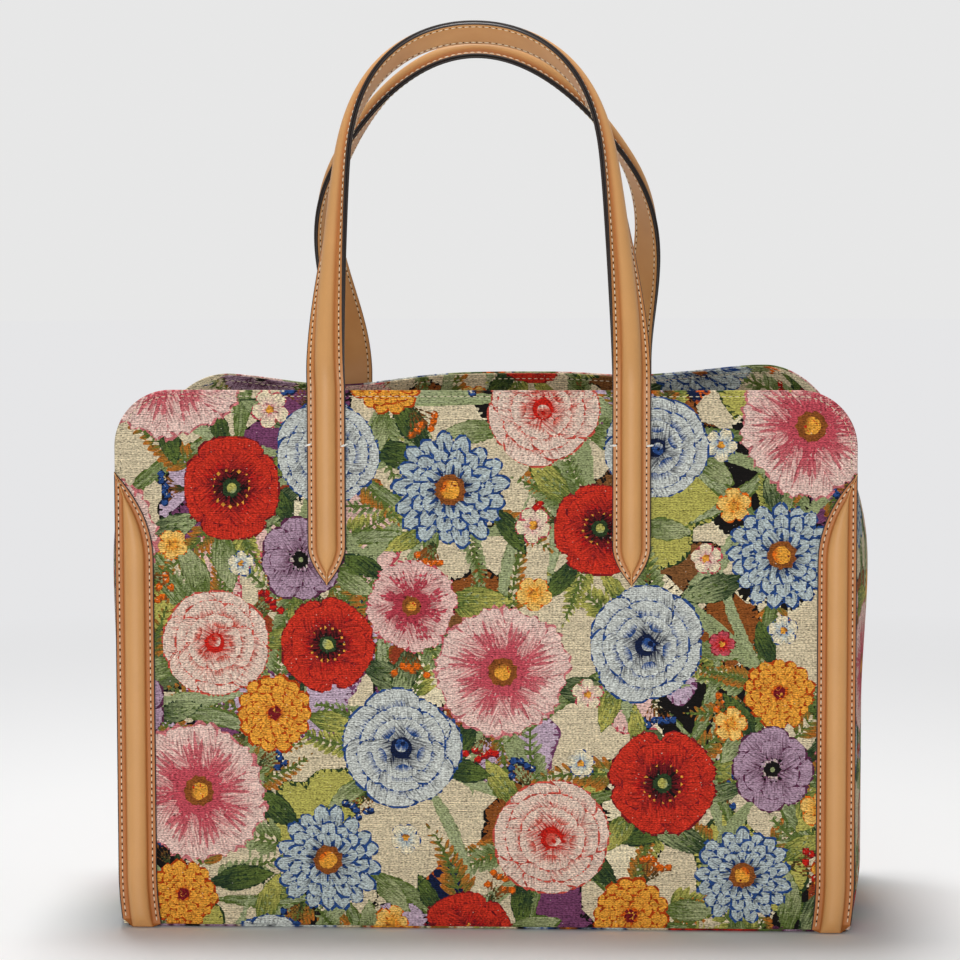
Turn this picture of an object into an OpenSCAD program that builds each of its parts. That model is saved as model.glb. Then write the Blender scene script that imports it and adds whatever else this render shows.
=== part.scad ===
// Open tote bag of printed canvas with leather handles and corner trims.
// Millimetres. The base rests on z = 0, the front faces -Y and +Z is up.

/* [Body] */
// Width across the front panel
body_w = 388; // [360:1:420]
// Height from the floor to the top edge
body_h = 285; // [265:1:310]
// Depth from the front panel's face to the back panel's face
body_d = 160; // [140:1:180]
// Radius of the front panel's top corners
front_corner_r = 30; // [20:1:40]
// Radius of the back panel's top corners, which have slumped
back_corner_r = 43; // [25:1:48]
// How far a panel bows outward at its middle
panel_bow = 2.5; // [0.5:0.5:5]
// How far the sides draw in at the foot
foot_tuck = 2.5; // [0:0.5:5]
// How far a gusset swells outward between the panels
gusset_swell = 10; // [4:1:14]
// Distance of a gusset's top below the top edge
gusset_drop = 32; // [26:1:40]
// Scale of the wave along the back panel's free top edge
edge_wave = 1; // [0:0.25:1.5]

/* [Cloth] */
// Thickness of the canvas with its interlining
cloth_t = 1.8; // [1.2:0.1:2.4]
// Thickness of the self-cloth facing inside the mouth
facing_t = 1; // [0.6:0.1:1.4]
// Depth of the facing below the top edge
facing_depth = 45; // [38:1:60]
// Thickness of the lining
lining_t = 0.6; // [0.4:0.1:1]
// Thickness of the board that stiffens the base
board_t = 1.8; // [1.2:0.1:3]

/* [Trims] */
// Width of a corner trim
trim_w = 20.5; // [18:0.5:24]
// Distance of a trim's upper tip below the top edge
trim_drop = 43; // [38:1:60]
// Height of the curved taper at a trim's upper tip
trim_taper = 47; // [35:1:60]
// Thickness of the trim and handle leather
leather_t = 1.3; // [1:0.1:1.6]
// Height of the padded ridge above the leather's face
ridge_h = 4.5; // [3:0.25:5.5]
// Width of the flat flange at each side of a ridge
flange_w = 4.6; // [4:0.2:5.6]

/* [Handles] */
// Width of a handle strap
strap_w = 20; // [18:0.5:24]
// Spacing of the two legs of a handle
leg_span = 159; // [140:1:180]
// Distance of a leg's pointed tip below the top edge
leg_drop = 102; // [90:1:120]
// Length of the pointed end of a leg
leg_point = 20; // [14:1:28]
// Height of the front handle's loop along its own slope
handle_rise = 199; // [185:1:230]
// How much lower the back handle's loop stands
back_drop = 13; // [10:1:20]
// Sideways shift of both handles from the middle
leg_shift = -2.5; // [-4:0.5:4]
// Distance of the front handle's crown before the middle of the bag
front_crown = 7.5; // [5:0.5:20]
// Distance of the back handle's crown behind the middle of the bag
back_crown = 20; // [14:0.5:30]
// Roundness of the front handle's crown, 2 as in an ellipse and more for a flatter crown
front_round = 2.1; // [1.8:0.05:3]
// Roundness of the back handle's crown
back_round = 1.95; // [1.8:0.05:2.6]
// How straight the front handle's legs rise, 2 as in an ellipse
front_straight = 5; // [2:0.5:6]
// How straight the back handle's legs rise
back_straight = 1.6; // [1.5:0.1:3]
// How far the front handle's legs draw in above the bag
front_flare = -7.5; // [-10:0.5:2]
// How far the back handle's legs spread above the bag
back_flare = 33.5; // [10:0.5:36]
// Sideways sway of the front handle's crown
front_sway = -6; // [-10:0.5:0]
// Sideways sway of the back handle's crown
back_sway = -6; // [-14:0.5:0]
// Angle by which the front handle's strap has turned at its crown
front_turn = 97; // [84:1:100]
// Angle by which the back handle's strap has turned at its crown
back_turn = 84; // [80:1:96]

/* [Hidden] */
// Play between pieces that touch
play = 0.15;
// Foot of the panels above the floor
panel_foot = 1.5;
base_t = 2.2;
tuck_h = 30;
// Height of the gussets, which end below the top edge
gusset_h = body_h - gusset_drop;
// Zone below the top edge in which the back panel's edge waves
wave_h = 70;
// Lift of that edge as a whole, then its dips and rises: height, place and spread,
// the last two as shares of the body's width
edge_lift = 1.5;
edge_waves = [[-7.5, -0.237, 0.116], [-2, 0.193, 0.064], [4, 0.387, 0.082]];
// Height of the lining, below the facing
lining_h = body_h - facing_depth - 4;
// Play of the loose lining inside the body
lining_play = 1.4;
// Inset of the facing from a panel's sides and from its top edge
facing_inset = 8;
facing_top = 1;
// Height at which a handle leaves the bag and starts to lean
lean_z = body_h + 2;
// Radius of the bend with which it starts to lean
lean_r = 40;
// Distance of the row of fixing stitches below the top edge
sewn_drop = 29;
// Height over which a handle's legs spread
flare_h = 125;
// How soon each handle's strap turns over on its way up
front_haste = 1.8;
back_haste = 2.3;
// Level at which the ridged leather lies on a strap's backing
face_h = leather_t + play;
// Ridge sections of a strap and of a trim, as shares of half width and height
strap_ridge = [[1, 0], [0.82, 0.62], [0.45, 0.93], [0, 1]];
trim_ridge = [[1, 0], [0.7, 0.78], [0, 1]];
// The hollow below a ridge and the filling in it, as shares of the ridge
hollow_w = 0.83;
hollow_h = 0.9;
fill_share = 0.84;
// Height of a handle's core above the backing, clear of it where the strap turns
core_lift = 0.34;
// Slight roundness of the filling below
fill_sag = 0.03;
// Smallest ridge half width, where a ridge runs out at a point
ridge_min = 0.4;

// Rows of a panel below its corners, as shares of that height
panel_marks = [0, 0.03, 0.07, 0.12, 0.32, 0.55, 0.78, 1];
corner_rows = 6;
front_cols = 14;
back_cols = 18;
facing_rows = 3;
gusset_marks = [0, 0.05, 0.1, 0.18, 0.35, 0.5, 0.62, 0.74, 0.83, 0.9, 0.95, 1];
gusset_cols = 6;
// Rows of the lining, as shares of its height
lining_marks = [0, 0.1, 0.4, 0.62, 0.8, 1];
lining_cols = 6;
// Rows of a trim's taper, of its straight part and of its closed foot
trim_top_marks = [0, 0.12, 0.28, 0.5, 0.75, 1];
trim_foot_h = 5.5;
trim_foot = [for (f = [1, 0.45, 0.18, 0]) f * trim_foot_h];
// Ends of a trim above the floor, at its outer flange, its inner flange and its ridge
outer_foot = 4.5;
inner_foot = 2;
ridge_foot = 0.3;
// Rows of a strap's pointed end, as shares of its length
point_marks = [0, 0.08, 0.25, 0.5, 0.75, 1];
loop_steps = 34;
// Fine steps along a loop, from which its length is measured
fine_steps = 120;

print_col = [0.80, 0.72, 0.60];
lining_col = [0.62, 0.56, 0.48];
board_col = [0.45, 0.40, 0.34];
leather_col = [0.78, 0.56, 0.34];
backing_col = [0.66, 0.44, 0.25];
fill_col = [0.85, 0.82, 0.75];

function lerp(a, b, t) = a + (b - a) * t;
function clamp(t) = min(1, max(0, t));
function ease(t) = let (c = clamp(t)) c * c * (3 - 2 * c);
function bell(x, mid, spread) = exp(-pow((x - mid) / spread, 2));

// Half width of a panel at height z, with the foot drawn in and top corners of radius r
function corner_cut(z, r) =
    z > body_h - r ? r - sqrt(max(0, r * r - pow(z - body_h + r, 2))) : 0;
function tuck(z) = foot_tuck * pow(1 - clamp(z / tuck_h), 2);
function half_w(z, r) = body_w / 2 - tuck(z) - corner_cut(z, r);

// Bow of a panel at the share u of its half width
function bow(u, z) = panel_bow * (1 - pow(u, 4)) * ease(2 * z / body_h);
// Lift of the back panel's edge, highest at the edge itself
function wave(x, z) =
    edge_wave * ease((z - body_h + wave_h) / wave_h)
    * (edge_lift + [for (e = edge_waves) e[0]] * [for (e = edge_waves) bell(x / body_w, e[1], e[2])]);

// A point of a panel, seen from its own side with the face towards -Y
function panel_point(u, z, r, depth, inset, waves) =
    let (x = u * (half_w(z, r) - inset))
    [x, depth - body_d / 2 - bow(u, z), z + waves * wave(x, z)];
function panel_rows(r) =
    concat([for (f = panel_marks) lerp(panel_foot, body_h - r, f)],
           [for (i = [1:corner_rows]) body_h - r + r * sin(90 * i / corner_rows)]);
function facing_zs(r) =
    concat([body_h - facing_depth],
           [for (i = [0:facing_rows]) body_h - r + r * sin(90 * i / facing_rows)]);
function shares(n) = [for (i = [0:n]) 2 * i / n - 1];

// A solid between an outer and an inner grid of points, rows upward and columns along +X
module sheet_solid(outer, inner) {
    nr = len(outer);
    nc = len(outer[0]);
    all_points = concat([for (row = outer) each row], [for (row = inner) each row]);
    skin = [for (r = [0:nr - 2]) for (c = [0:nc - 2])
        let (k = r * nc + c)
        each [[k, k + nc, k + nc + 1], [k, k + nc + 1, k + 1]]];
    back = [for (f = skin) [for (i = [2, 1, 0]) f[i] + nr * nc]];
    rim = concat(
        [for (r = [0:nr - 2]) [r * nc, (r + 1) * nc]],
        [for (c = [0:nc - 2]) [(nr - 1) * nc + c, (nr - 1) * nc + c + 1]],
        [for (r = [0:nr - 2]) [(r + 2) * nc - 1, (r + 1) * nc - 1]],
        [for (c = [0:nc - 2]) [c + 1, c]]);
    side = [for (e = rim)
        each [[e[1], e[0], e[0] + nr * nc], [e[1], e[0] + nr * nc, e[1] + nr * nc]]];
    polyhedron(all_points, concat(skin, back, side), convexity = 8);
}

// A solid through a row of equal rings of points, each ring turning the same way
module ring_solid(rings) {
    nr = len(rings);
    nc = len(rings[0]);
    walls = [for (r = [0:nr - 2]) for (c = [0:nc - 1])
        let (k = r * nc + c, n = r * nc + (c + 1) % nc)
        each [[k, k + nc, n + nc], [k, n + nc, n]]];
    ends = [[for (c = [0:nc - 1]) c], [for (c = [0:nc - 1]) nr * nc - 1 - c]];
    polyhedron([for (ring = rings) each ring], concat(walls, ends), convexity = 8);
}

// The printed canvas body
module panel(r, cols, waves) {
    color(print_col)
        sheet_solid(
            [for (z = panel_rows(r)) [for (u = shares(cols)) panel_point(u, z, r, 0, 0, waves)]],
            [for (z = panel_rows(r)) [for (u = shares(cols)) panel_point(u, z, r, cloth_t, 0, waves)]]);
}
module front_panel() { panel(front_corner_r, front_cols, 0); }
module back_panel() { mirror([0, 1, 0]) panel(back_corner_r, back_cols, 1); }

// The facing hangs inside a panel below its top edge and stops short of the gussets
module facing(r, cols, waves) {
    near = cloth_t + play;
    color(print_col)
        translate([0, 0, -facing_top])
            sheet_solid(
                [for (z = facing_zs(r)) [for (u = shares(cols))
                    panel_point(u, z, r, near, facing_inset, waves)]],
                [for (z = facing_zs(r)) [for (u = shares(cols))
                    panel_point(u, z, r, near + facing_t, facing_inset, waves)]]);
}
module front_facing() { facing(front_corner_r, front_cols, 0); }
module back_facing() { mirror([0, 1, 0]) facing(back_corner_r, back_cols, 1); }

// Outward swell of a gusset at the share t of its height; its top folds inward
function swell(t) =
    gusset_swell * (0.4 + 0.28 * ease(t / 0.12) + 0.32 * ease((t - 0.45) / 0.29)
                    - 1.7 * pow(max(0, (t - 0.74) / 0.26), 2.2));
// A point of the right gusset, at the share q of its half depth from front to back
function gusset_point(q, z, inset, end_gap) =
    [lerp(half_w(z, front_corner_r), half_w(z, back_corner_r), (q + 1) / 2)
         + swell(z / gusset_h) * (1 - q * q) - inset,
     q * (body_d / 2 - cloth_t - end_gap), z];
function gusset_zs() = [for (f = gusset_marks) lerp(panel_foot, gusset_h, f)];
module right_gusset() {
    color(print_col)
        sheet_solid(
            [for (z = gusset_zs()) [for (q = shares(gusset_cols)) gusset_point(q, z, 0, play)]],
            [for (z = gusset_zs()) [for (q = shares(gusset_cols)) gusset_point(q, z, cloth_t, play)]]);
}
module left_gusset() { mirror([1, 0, 0]) right_gusset(); }

// The base and its board lie between the panels and the gussets
function mirror_x(points) = [for (i = [len(points) - 1:-1:0]) [-points[i][0], points[i][1]]];
module base_plate(inset, z, t) {
    right = [for (q = shares(gusset_cols))
        let (p = gusset_point(q, panel_foot, cloth_t + inset, inset)) [p[0], p[1]]];
    translate([0, 0, z])
        linear_extrude(t)
            polygon(concat(right, mirror_x(right)));
}
module base_panel() { color(print_col) base_plate(play, 0, base_t); }
module base_board() { color(board_col) base_plate(1, base_t + play, board_t); }

// The lining is a tub inside the body, up to the facing
function lining_ring(z, gap) =
    let (zs = max(z, panel_foot),
         ends = [for (q = shares(gusset_cols)) gusset_point(q, zs, cloth_t + gap, gap)],
         half = ends[0][0],
         long = [for (u = shares(lining_cols))
             [u * half, cloth_t + gap - body_d / 2 - bow(u, zs)]],
         last = len(ends) - 1)
    concat([for (i = [0:lining_cols - 1]) [long[i][0], long[i][1], z]],
           [for (i = [0:last - 1]) [ends[i][0], ends[i][1], z]],
           [for (i = [lining_cols:-1:1]) [long[i][0], -long[i][1], z]],
           [for (i = [last:-1:1]) [-ends[i][0], ends[i][1], z]]);
module lining() {
    floor_z = base_t + board_t + 2 * play;
    last = len(lining_marks) - 1;
    outer = [for (f = lining_marks) lining_ring(lerp(floor_z, lining_h, f), lining_play)];
    inner = [for (i = [last:-1:0])
        lining_ring(lerp(floor_z + lining_t, lining_h, lining_marks[i]), lining_play + lining_t)];
    color(lining_col) ring_solid(concat(outer, inner));
}

// Section of a ridge with flanges, from -b to b across, its face at height t
// Each entry is [across, outer height, hollow's across, hollow's height]
function ridge_half(b) = min(max(ridge_min, b - flange_w), b * 0.8);
function ridge_rise(half, full) = ridge_h * pow(clamp(half / full), 0.6);
function both_sides(half_list) =
    let (last = len(half_list) - 1)
    concat([for (e = half_list) [-e[0], e[1]]], [for (i = [last - 1:-1:0]) half_list[i]]);
function ridge_profile(b, t, full, dome, section) =
    let (half = ridge_half(b), rise = dome * ridge_rise(half, full))
    concat([[-b, t, -b, 0]],
           [for (e = both_sides(section)) [half * e[0], t + rise * e[1],
                                           half * hollow_w * e[0], rise * hollow_h * e[1]]],
           [[b, t, b, 0]]);
function fill_profile(b, full, section) =
    let (half = ridge_half(b) * hollow_w * fill_share,
         rise = ridge_rise(ridge_half(b), full) * hollow_h * fill_share)
    concat([for (e = both_sides(section)) [half * e[0], rise * e[1]]], [[0, -fill_sag]]);

// A corner trim lies on a panel's face along its side; this one is the front right one
trim_tip = body_h - trim_drop;
trim_full = trim_w / 2 - flange_w;
function trim_half(z) =
    max(0.3, trim_w / 2 * (1 - pow(clamp(1 - (trim_tip - z) / trim_taper), 2.1)));
// The foot ends highest at the outer flange and reaches the floor at the ridge
function foot_z(across) =
    across > trim_full ? outer_foot : across < -trim_full ? inner_foot : ridge_foot;
function trim_zs() =
    concat([for (f = trim_top_marks) trim_tip - f * trim_taper],
           [for (f = [0.45, 0.75]) lerp(trim_tip - trim_taper, tuck_h, f)],
           [tuck_h], trim_foot);
function trim_dome(z) = z >= trim_foot_h ? 1 : sqrt(clamp(z / trim_foot_h)) * 0.95 + 0.05;
// A point at the share across of the trim's own middle line and height h above the panel
function trim_point(z, across, h, half) =
    let (lift = z < tuck_h ? foot_z(across) * (1 - z / tuck_h) : 0,
         zz = z + lift,
         w = half_w(zz, front_corner_r),
         x = w - half + across)
    [x, -body_d / 2 - bow(x / w, zz) - play - h, zz];
function trim_rows() =
    [for (z = trim_zs())
        let (half = trim_half(z))
        [for (p = ridge_profile(half, leather_t, trim_full, trim_dome(z), trim_ridge))
            [z, half, p]]];
module front_right_trim() {
    rows = [for (i = [len(trim_rows()) - 1:-1:0]) trim_rows()[i]];
    color(leather_col)
        sheet_solid([for (row = rows) [for (e = row) trim_point(e[0], e[2][0], e[2][1], e[1])]],
                    [for (row = rows) [for (e = row) trim_point(e[0], e[2][2], e[2][3], e[1])]]);
}
module front_left_trim() { mirror([1, 0, 0]) front_right_trim(); }
module back_right_trim() { mirror([0, 1, 0]) front_right_trim(); }
module back_left_trim() { mirror([0, 1, 0]) front_left_trim(); }

// The filler is a cord of padding in the hollow of a trim's ridge
module front_right_trim_filler() {
    zs = [for (z = trim_zs()) if (trim_half(z) - flange_w > trim_full * 0.4 && z >= trim_foot_h) z];
    color(fill_col)
        ring_solid([for (i = [len(zs) - 1:-1:0])
            let (z = zs[i], half = trim_half(z))
            [for (p = fill_profile(half, trim_full, trim_ridge)) trim_point(z, p[0], p[1], half)]]);
}
module front_left_trim_filler() { mirror([1, 0, 0]) front_right_trim_filler(); }
module back_right_trim_filler() { mirror([0, 1, 0]) front_right_trim_filler(); }
module back_left_trim_filler() { mirror([0, 1, 0]) front_left_trim_filler(); }

// Loop of a handle in its own plane, at the angle a from its right leg
// A loop is [rise, roundness, straightness, flare, sway, crown, turn, haste]
front_loop = [handle_rise, front_round, front_straight, front_flare, front_sway,
              front_crown, front_turn, front_haste];
back_loop = [handle_rise - back_drop, back_round, back_straight, back_flare, back_sway,
             back_crown, back_turn, back_haste];
leg_x = leg_span / 2;
leg_len = lean_z - body_h + leg_drop;
sewn_len = leg_drop - sewn_drop;
function loop_point(a, k) =
    let (v = k[0] * sin(a),
         x = sign(cos(a)) * leg_x * pow(1 - pow(sin(a), k[2]), 1 / k[1]))
    [x * (1 + k[3] / leg_x * ease(v / flare_h)) + k[4] * v / k[0], v];
// Table of distance along the loop against the angle
function loop_table(k) =
    let (pts = [for (i = [0:fine_steps]) loop_point(180 - 180 * i / fine_steps, k)])
    [for (i = 0, s = 0; i <= fine_steps;
          i = i + 1, s = s + (i <= fine_steps ? norm(pts[i] - pts[i - 1]) : 0))
        [s, 180 - 180 * i / fine_steps]];
// Place in the loop's plane at the distance s from the left leg's tip
function path(s, k, table) =
    let (full = table[fine_steps][0], d = s - leg_len)
    d < 0 ? [-leg_x, d] : d > full ? [leg_x, full - d] : loop_point(lookup(d, table), k);

// Frame at the distance s: [place, face direction, direction to the loop's inner side]
leg_face = body_d / 2 + panel_bow + play;
function strap_frame(s, k, table) =
    let (total = table[fine_steps][0] + 2 * leg_len,
         p = path(s, k, table),
         step = path(s + 0.5, k, table) - path(s - 0.5, k, table),
         t = step / norm(step),
         lean = asin((leg_face - k[5]) / k[0]),
         bend = lean_r * lean * PI / 180,
         v = p[1],
         tilt = v <= 0 ? 0 : min(lean, v / lean_r * 180 / PI),
         along = max(0, v - bend),
         y = v <= 0 ? 0 : lean_r * (1 - cos(tilt)) + along * sin(lean),
         z = v <= 0 ? v : lean_r * sin(tilt) + along * cos(lean),
         rise_dir = [0, sin(tilt), cos(tilt)],
         face = [0, -cos(tilt), sin(tilt)],
         out = [-t[1], 0, 0] + t[0] * rise_dir,
         q = clamp((min(s, total - s) - leg_len) / (total / 2 - leg_len)),
         turn = k[6] * (1 - pow(1 - q, k[7])))
    [[p[0] + leg_shift, y - leg_face, lean_z + z],
     cos(turn) * face + sin(turn) * out,
     sin(turn) * face - cos(turn) * out];
function strap_half(s, total) =
    max(0.3, strap_w / 2 * (1 - pow(1 - clamp(min(s, total - s) / leg_point), 1.7)));
function stations(total) =
    let (first = concat([for (f = point_marks) f * leg_point], [(leg_point + sewn_len) / 2]))
    concat(first,
           [for (i = [0:loop_steps]) lerp(sewn_len, total - sewn_len, i / loop_steps)],
           [for (i = [len(first) - 1:-1:0]) total - first[i]]);
function place(f, across, h) = f[0] + f[1] * h + f[2] * across;
strap_full = strap_w / 2 - flange_w;

module handle_outer(k) {
    table = loop_table(k);
    total = table[fine_steps][0] + 2 * leg_len;
    rows = [for (s = stations(total))
        let (f = strap_frame(s, k, table), half = strap_half(s, total))
        [for (p = ridge_profile(half, leather_t, strap_full, 1, strap_ridge)) [f, p]]];
    color(leather_col)
        sheet_solid([for (row = rows) [for (e = row) place(e[0], e[1][0], face_h + e[1][1])]],
                    [for (row = rows) [for (e = row) place(e[0], e[1][2], face_h + e[1][3])]]);
}
module handle_core(k) {
    table = loop_table(k);
    total = table[fine_steps][0] + 2 * leg_len;
    color(fill_col)
        ring_solid([for (s = stations(total))
            let (f = strap_frame(s, k, table), half = strap_half(s, total))
            if (half - flange_w > strap_full * 0.4)
            [for (p = fill_profile(half, strap_full, strap_ridge)) place(f, p[0], face_h + core_lift + p[1])]]);
}
module handle_backing(k) {
    table = loop_table(k);
    total = table[fine_steps][0] + 2 * leg_len;
    color(backing_col)
        ring_solid([for (s = stations(total))
            let (f = strap_frame(s, k, table), half = strap_half(s, total),
                 seam = ridge_half(half) * hollow_w)
            concat([place(f, -half, 0)],
                   [for (a = [-half, -seam, 0, seam, half]) place(f, a, leather_t)],
                   [place(f, half, 0)])]);
}
module front_handle_outer() { handle_outer(front_loop); }
module front_handle_core() { handle_core(front_loop); }
module front_handle_backing() { handle_backing(front_loop); }
module back_handle_outer() { mirror([0, 1, 0]) handle_outer(back_loop); }
module back_handle_core() { mirror([0, 1, 0]) handle_core(back_loop); }
module back_handle_backing() { mirror([0, 1, 0]) handle_backing(back_loop); }

front_panel();
back_panel();
left_gusset();
right_gusset();
base_panel();
front_facing();
back_facing();
lining();
base_board();
front_left_trim();
front_right_trim();
back_left_trim();
back_right_trim();
front_left_trim_filler();
front_right_trim_filler();
back_left_trim_filler();
back_right_trim_filler();
front_handle_outer();
front_handle_core();
front_handle_backing();
back_handle_outer();
back_handle_core();
back_handle_backing();
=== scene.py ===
import math
import random

import bpy
import numpy as np
from mathutils import Matrix, Vector
from mathutils.geometry import delaunay_2d_cdt


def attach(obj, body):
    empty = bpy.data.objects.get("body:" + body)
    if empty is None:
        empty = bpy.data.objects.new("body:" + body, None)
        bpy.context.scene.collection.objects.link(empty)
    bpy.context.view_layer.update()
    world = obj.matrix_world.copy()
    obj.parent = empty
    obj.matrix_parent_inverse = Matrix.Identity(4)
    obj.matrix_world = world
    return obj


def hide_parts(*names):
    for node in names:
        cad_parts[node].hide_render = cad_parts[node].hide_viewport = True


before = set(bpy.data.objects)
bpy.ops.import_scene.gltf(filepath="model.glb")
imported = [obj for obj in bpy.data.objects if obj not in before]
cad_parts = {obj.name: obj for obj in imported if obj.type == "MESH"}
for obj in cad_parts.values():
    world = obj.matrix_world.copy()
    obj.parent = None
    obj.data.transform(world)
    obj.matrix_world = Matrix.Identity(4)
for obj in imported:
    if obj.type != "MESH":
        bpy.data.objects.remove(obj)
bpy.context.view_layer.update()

# Canvas print
# The whole body is cut from one ribbed canvas with a dense floral. The print
# is laid out flat here, in millimetres, as shapes of plain colour drawn one
# over the other; each runs from one colour at its root to another at its tip.
LINEN, ECRU, BLUSH = (220, 204, 170), (238, 224, 188), (230, 190, 178)
ROSE, RED, WINE = (198, 80, 92), (202, 34, 24), (124, 26, 32)
BLUE, MIST, NAVY = (42, 76, 136), (186, 198, 198), (18, 30, 62)
ORANGE, AMBER, OCHRE = (226, 104, 22), (238, 166, 60), (142, 80, 34)
SAGE, LEAF, MOSS, LIME = (152, 162, 114), (92, 110, 50), (44, 64, 36), (184, 178, 90)
PLUM, LILAC, INK = (120, 66, 102), (196, 172, 190), (20, 17, 16)
rng = random.Random(52)
shapes = []
PETALS = {
    "round": ((0, 0.2), (0.25, 0.6), (0.5, 0.9), (0.72, 1), (0.88, 0.84), (0.97, 0.46)),
    "almond": ((0, 0.04), (0.15, 0.45), (0.36, 0.92), (0.55, 1), (0.78, 0.66), (0.92, 0.26)),
    "strap": ((0, 0.35), (0.4, 0.8), (0.75, 1), (0.92, 0.72)),
    "fan": ((0, 0.14), (0.3, 0.5), (0.6, 0.86), (0.85, 1), (0.96, 0.8), (0.92, 0.6), (1, 0.42), (0.94, 0.22)),
    "spot": ((0.05, 0.44), (0.3, 0.92), (0.5, 1), (0.7, 0.92), (0.95, 0.44)),
}


def linear(rgb):
    c = np.asarray(rgb, float) / 255
    return np.where(c > 0.04045, ((c + 0.055) / 1.055) ** 2.4, c / 12.92)


def turned(at, turn, x, y):
    """Point x along and y across the direction turn, from at."""
    c, s = math.cos(turn), math.sin(turn)
    return (at[0] + x * c - y * s, at[1] + x * s + y * c)


def shape(at, turn, local, root, tip, length):
    """Draw a field given by points along and across the direction turn."""
    pts = np.array([turned(at, turn, x, y) for x, y in local])
    axis = np.array([length * math.cos(turn), length * math.sin(turn)])
    shapes.append((pts, linear(root), linear(tip), np.array(at, float), axis))


def petal(at, turn, length, width, kind, root, tip, bend=0.0):
    """One petal or leaf, bent sideways by the share bend of its length."""
    side = [(t * length, w * width / 2) for t, w in PETALS[kind]]
    pts = [(x, -y) for x, y in side] + [(length, 0)] * (kind != "fan") + list(reversed(side))
    pts = [(x, y + bend * length * (x / length) ** 2) for x, y in pts]
    shape(at, turn, pts, root, tip, length)


def satin(at, turn, length, width, teeth, colour, fade):
    """Toothed shading of long and short stitches, from a petal's root outward."""
    pts = [(0, -width * 0.16), (0, width * 0.16)]
    for k in range(2 * teeth + 1):
        across = 0.5 - k / (2 * teeth)
        reach = length * (1 if k % 2 else 0.62) * (1 - 1.1 * across * across) * rng.uniform(0.86, 1.1)
        pts.append((max(reach, 0.5), across * width * 0.86))
    shape(at, turn, pts, colour, fade, length)


def disc(at, r, colour, fade=None, points=14, rough=0.0):
    """A round spot, with every second point of its edge drawn out by rough."""
    turns = [2 * math.pi * k / points for k in range(points)]
    reach = [r * (1 + rough * (k % 2)) for k in range(points)]
    pts = [(n * math.cos(a), n * math.sin(a)) for n, a in zip(reach, turns)]
    shape(at, rng.uniform(0, 6), pts, colour, fade or colour, r)


def ring(count, turn, draw):
    """Draw count petals round a middle, each a little out of line."""
    for k in range(count):
        draw(turn + 2 * math.pi * k / count + rng.uniform(-0.06, 0.06), rng.uniform(0.93, 1.05))


def away(at, turn, d):
    return (at[0] + d * math.cos(turn), at[1] + d * math.sin(turn))


def rose(at, r, deep, mid, pale):
    turn = rng.uniform(0, 6)
    for count, reach, wide in ((7, 1.0, 1.0), (6, 0.78, 0.82), (5, 0.54, 0.6)):
        def one(a, k):
            n = r * reach * k
            petal(at, a, n, r * wide, "round", deep, mid)
            petal(at, a, n * 0.97, r * wide * 0.95, "round", deep, pale)
            satin(away(at, a, n * 0.52), a, n * 0.34, r * wide * 0.6, 5, mid, pale)
        ring(count, turn, one)
        turn += 0.47
    disc(at, r * 0.19, deep)
    disc(away(at, turn, r * 0.04), r * 0.12, mid, pale)
    disc(away(at, turn, r * 0.07), r * 0.05, deep)


def aster(at, r, deep, mid, pale):
    turn = rng.uniform(0, 6)
    for count, reach in ((17, 1.0), (14, 0.76), (11, 0.54)):
        def one(a, k):
            n = r * reach * k
            petal(at, a, n, r * 0.33, "strap", deep, mid)
            petal(at, a, n * 0.96, r * 0.27, "strap", deep, pale)
            petal(away(at, a, n * 0.3), a, n * 0.55, r * 0.06, "almond", deep, mid)
        ring(count, turn, one)
        turn += 0.2
    disc(at, r * 0.24, OCHRE, points=18, rough=0.16)
    disc(at, r * 0.17, AMBER, ORANGE)
    ring(8, turn, lambda a, k: disc(away(at, a, r * 0.11), r * 0.025, WINE, points=6))


def poppy(at, r, deep, mid, pale):
    turn = rng.uniform(0, 6)
    for count, reach, wide in ((4, 1.0, 1.32), (4, 0.8, 0.98)):
        def one(a, k):
            n = r * reach * k
            petal(at, a, n, r * wide, "round", deep, deep)
            petal(at, a, n * 0.97, r * wide * 0.96, "round", deep, pale)
            for off in (-0.42, -0.22, 0, 0.2, 0.43):
                vein = n * rng.uniform(0.36, 0.52)
                petal(away(at, a + off * 0.8, n * 0.34), a + off, vein, r * 0.055, "almond", deep, mid)
            satin(at, a, n * 0.62, r * wide * 0.6, 6, INK, deep)
        ring(count, turn, one)
        turn += 0.75
    ring(16, turn, lambda a, k: petal(at, a, r * 0.36 * k, r * 0.03, "strap", INK, INK))
    ring(16, turn, lambda a, k: disc(away(at, a, r * 0.36 * k), r * 0.028, AMBER, points=6))
    disc(at, r * 0.17, MOSS, points=16, rough=0.12)
    disc(at, r * 0.11, LIME, SAGE)


def zinnia(at, r, deep, mid, pale):
    turn = rng.uniform(0, 6)
    for count, reach in ((14, 1.0), (12, 0.79), (9, 0.58), (7, 0.38)):
        def one(a, k):
            n = r * reach * k
            petal(at, a, n, r * 0.46 * (0.6 + 0.4 * reach), "round", deep, deep)
            petal(at, a, n * 0.95, r * 0.4 * (0.6 + 0.4 * reach), "round", deep, pale)
            satin(at, a, n * 0.72, r * 0.24, 3, deep, mid)
        ring(count, turn, one)
        turn += 0.24
    disc(at, r * 0.15, WINE, points=14, rough=0.2)
    ring(6, turn, lambda a, k: disc(away(at, a, r * 0.08), r * 0.03, AMBER, points=6))


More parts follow.
